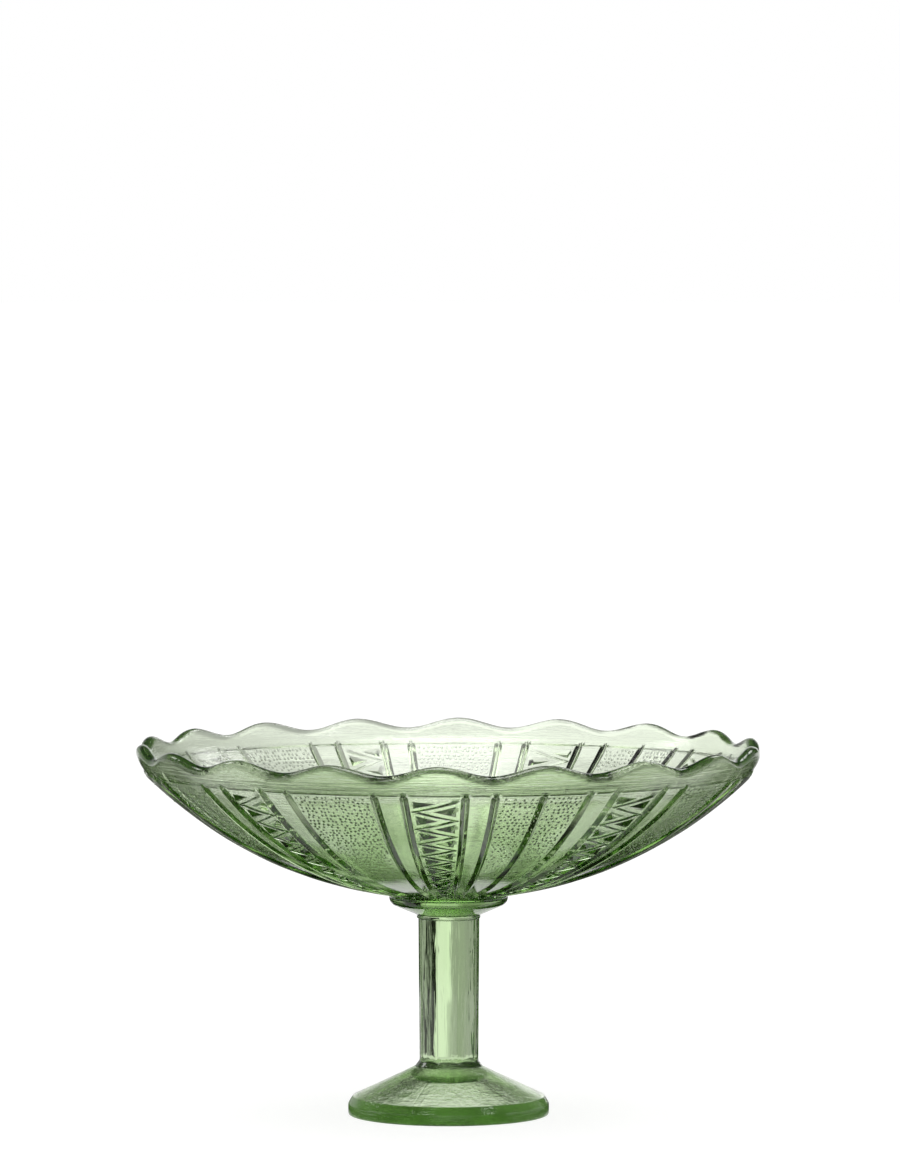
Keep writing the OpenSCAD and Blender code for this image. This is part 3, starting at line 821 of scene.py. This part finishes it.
# The room is white to the camera. A direction's height above the horizon is its z
world = bpy.data.worlds.new("studio")
scene.world = world
room = Finish(world)
wx, wy, wz = room.split(room.node("ShaderNodeTexCoord", out=0))
RAYS = ("Is Camera Ray", "Is Glossy Ray", "Is Transmission Ray")
seen, glossy, bent = room.node("ShaderNodeLightPath", out=RAYS)
mirrored = glossy - bent
bearing = quarter(room, wx, wy)
panel_light = panels(room, bearing, room.remap(wz, 0.12, 0.25, 1.0, STRAIGHT))
panel_height = room.remap(wz, 0.2, 0.45, 1.0, 0.0)
ring_through = room.remap(wz, 0.76, 0.91) * room.remap(wz, 0.97, 0.985, OVERHEAD, 0.0) * (1 - 0.2 * bent)
ring_mirrored = room.remap(wz, 0.93, 0.98, 0.0, OVERHEAD_MIRRORED)
overhead = ring_through * (1 - mirrored) + ring_mirrored * mirrored
lamp_across = room.remap(bearing, 20.0, 32.0) * room.remap(bearing, 34.0, 45.0, 1.0, 0.0)
lamp_height = room.remap(wz, 0.42, 0.58) * room.remap(wz, 0.62, 0.8, 1.0, 0.0)
lamps = lamp_across * lamp_height * mirrored * LAMP
level = ROOM + (panel_light - ROOM) * panel_height + overhead + lamps
light = room.node("ShaderNodeBackground", {}, white(level))
backdrop = room.node("ShaderNodeBackground", {}, white(1.0))
room.node("ShaderNodeOutputWorld", {}, {
    "Surface": room.node("ShaderNodeMixShader", {}, [seen, light, backdrop])})

# The table glows white for the camera and takes the object's shadow on top of that. For rays that come off
# the glass or through it, it glows by the distance from the axis in metres, and further out like the panels
table = Finish(bpy.data.materials.new("white_sweep"))
for_camera, for_glossy, through, turns = table.node("ShaderNodeLightPath", out=(*RAYS, "Ray Depth"))
for_glass = for_glossy.math("MAXIMUM", through)
off_glass = for_glossy - through
tx, ty = table.split(table.node("ShaderNodeNewGeometry", out="Position"))[:2]
from_axis = (tx * tx + ty * ty) ** 0.5
bearing = quarter(table, tx, ty)
under_foot = table.remap(from_axis, 0.036, 0.045, UNDER_FOOT, 0.0)

# Through the glass: brightest between 0.5 and 0.95 m, dimmer up to 1.3 m, and lit again from 1.5 m on
straight = table.remap(from_axis, 0.38, 0.48, STRAIGHT, TABLE_BRIGHT)
straight = straight - table.remap(from_axis, 0.95, 1.13, 0.0, 0.45)
straight = straight + table.remap(from_axis, 1.3, 1.5, 0.0, 0.35)
dip = table.remap(from_axis, 1.0, 1.13) * table.remap(from_axis, 1.35, 1.5, 1.0, 0.0)
sweep = panels(table, bearing, straight) * (1 - 0.22 * dip)
seen_through = under_foot + TABLE_DARK + (sweep - TABLE_DARK) * table.remap(from_axis, 0.09, 0.16)
# Rays that have passed one wall only, as in the view into the bowl, see the table lit next to the foot too
one_wall = turns.math("LESS_THAN", 2.5)
near_light = table.remap(from_axis, 0.16, 0.22, NEAR_ONE_WALL, 0.0) * one_wall
seen_through = seen_through.math("MAXIMUM", near_light)

# Mirrored: lit close by in the middle of each side, and all round from 1 m on
ahead = table.remap(bearing.math("ABSOLUTE"), 15.0, 22.0, 1.0, 0.0)
close_by = table.remap(from_axis, 0.05, 0.08, 0.0, TABLE_MIRRORED)
close_by = close_by * table.remap(from_axis, 0.35, 0.5, 1.0, 0.0)
far_off = table.remap(from_axis, 0.95, 1.1, 0.0, TABLE_MIRRORED)
seen_mirrored = ahead * close_by + far_off + under_foot

seen_by_glass = seen_through * (1 - off_glass) + seen_mirrored * off_glass
glow_level = for_camera * TABLE_SEEN + for_glass * (1 - for_camera) * seen_by_glass
glow = table.node("ShaderNodeEmission", {}, white(glow_level))
grey = table.node("ShaderNodeBsdfDiffuse", {}, {"Color": (TABLE_GREY, TABLE_GREY, TABLE_GREY, 1)})
shadowed = table.node("ShaderNodeAddShader", {}, [grey, glow])
from_above = table.node("ShaderNodeMixShader", {}, [for_camera, glow, shadowed])
# It is clear from below, so that the foot's underside can be seen
clear = table.node("ShaderNodeBsdfTransparent", {}, {"Color": (1, 1, 1, 1)})
from_below = table.node("ShaderNodeNewGeometry", out="Backfacing")
table.node("ShaderNodeOutputMaterial", {}, {
    "Surface": table.node("ShaderNodeMixShader", {}, [from_below, from_above, clear])})
floor_mesh = bpy.data.meshes.new("floor")
reach = 12.0
corners = [(-reach, -reach, 0), (reach, -reach, 0), (reach, reach, 0), (-reach, reach, 0)]
floor_mesh.from_pydata(corners, [], [(0, 1, 2, 3)])
floor_mesh.materials.append(table.owner)
floor = bpy.data.objects.new("floor", floor_mesh)
scene.collection.objects.link(floor)

# --------------------------------------------------------------------------------------------------
# Camera: a long lens, 3.06 m from the middle of the rim, a little above it
# --------------------------------------------------------------------------------------------------
PHOTO_W, PHOTO_H = 900, 1176
PIXELS_DEEP = 8000.0
SENSOR = 36.0
RIM_Z = 0.1415
mm_per_pixel = 0.3827
rim_at = (448.6, 746.1)
rise = 4.65
distance = PIXELS_DEEP * mm_per_pixel * MM
camera = bpy.data.objects.new("camera", bpy.data.cameras.new("camera"))
scene.collection.objects.link(camera)
back, up = math.cos(math.radians(rise)) * distance, math.sin(math.radians(rise)) * distance
camera.location = Vector((0, -back, RIM_Z + up))
tilt = rise - math.degrees(math.atan((rim_at[1] - PHOTO_H / 2) / PIXELS_DEEP))
pan = math.degrees(math.atan((rim_at[0] - PHOTO_W / 2) / PIXELS_DEEP))
camera.rotation_euler = (math.radians(90 - tilt), 0, math.radians(pan))
camera.data.sensor_fit = "VERTICAL"
camera.data.sensor_height = SENSOR
camera.data.lens = SENSOR * PIXELS_DEEP / PHOTO_H
camera.data.clip_end = 100.0
scene.camera = camera
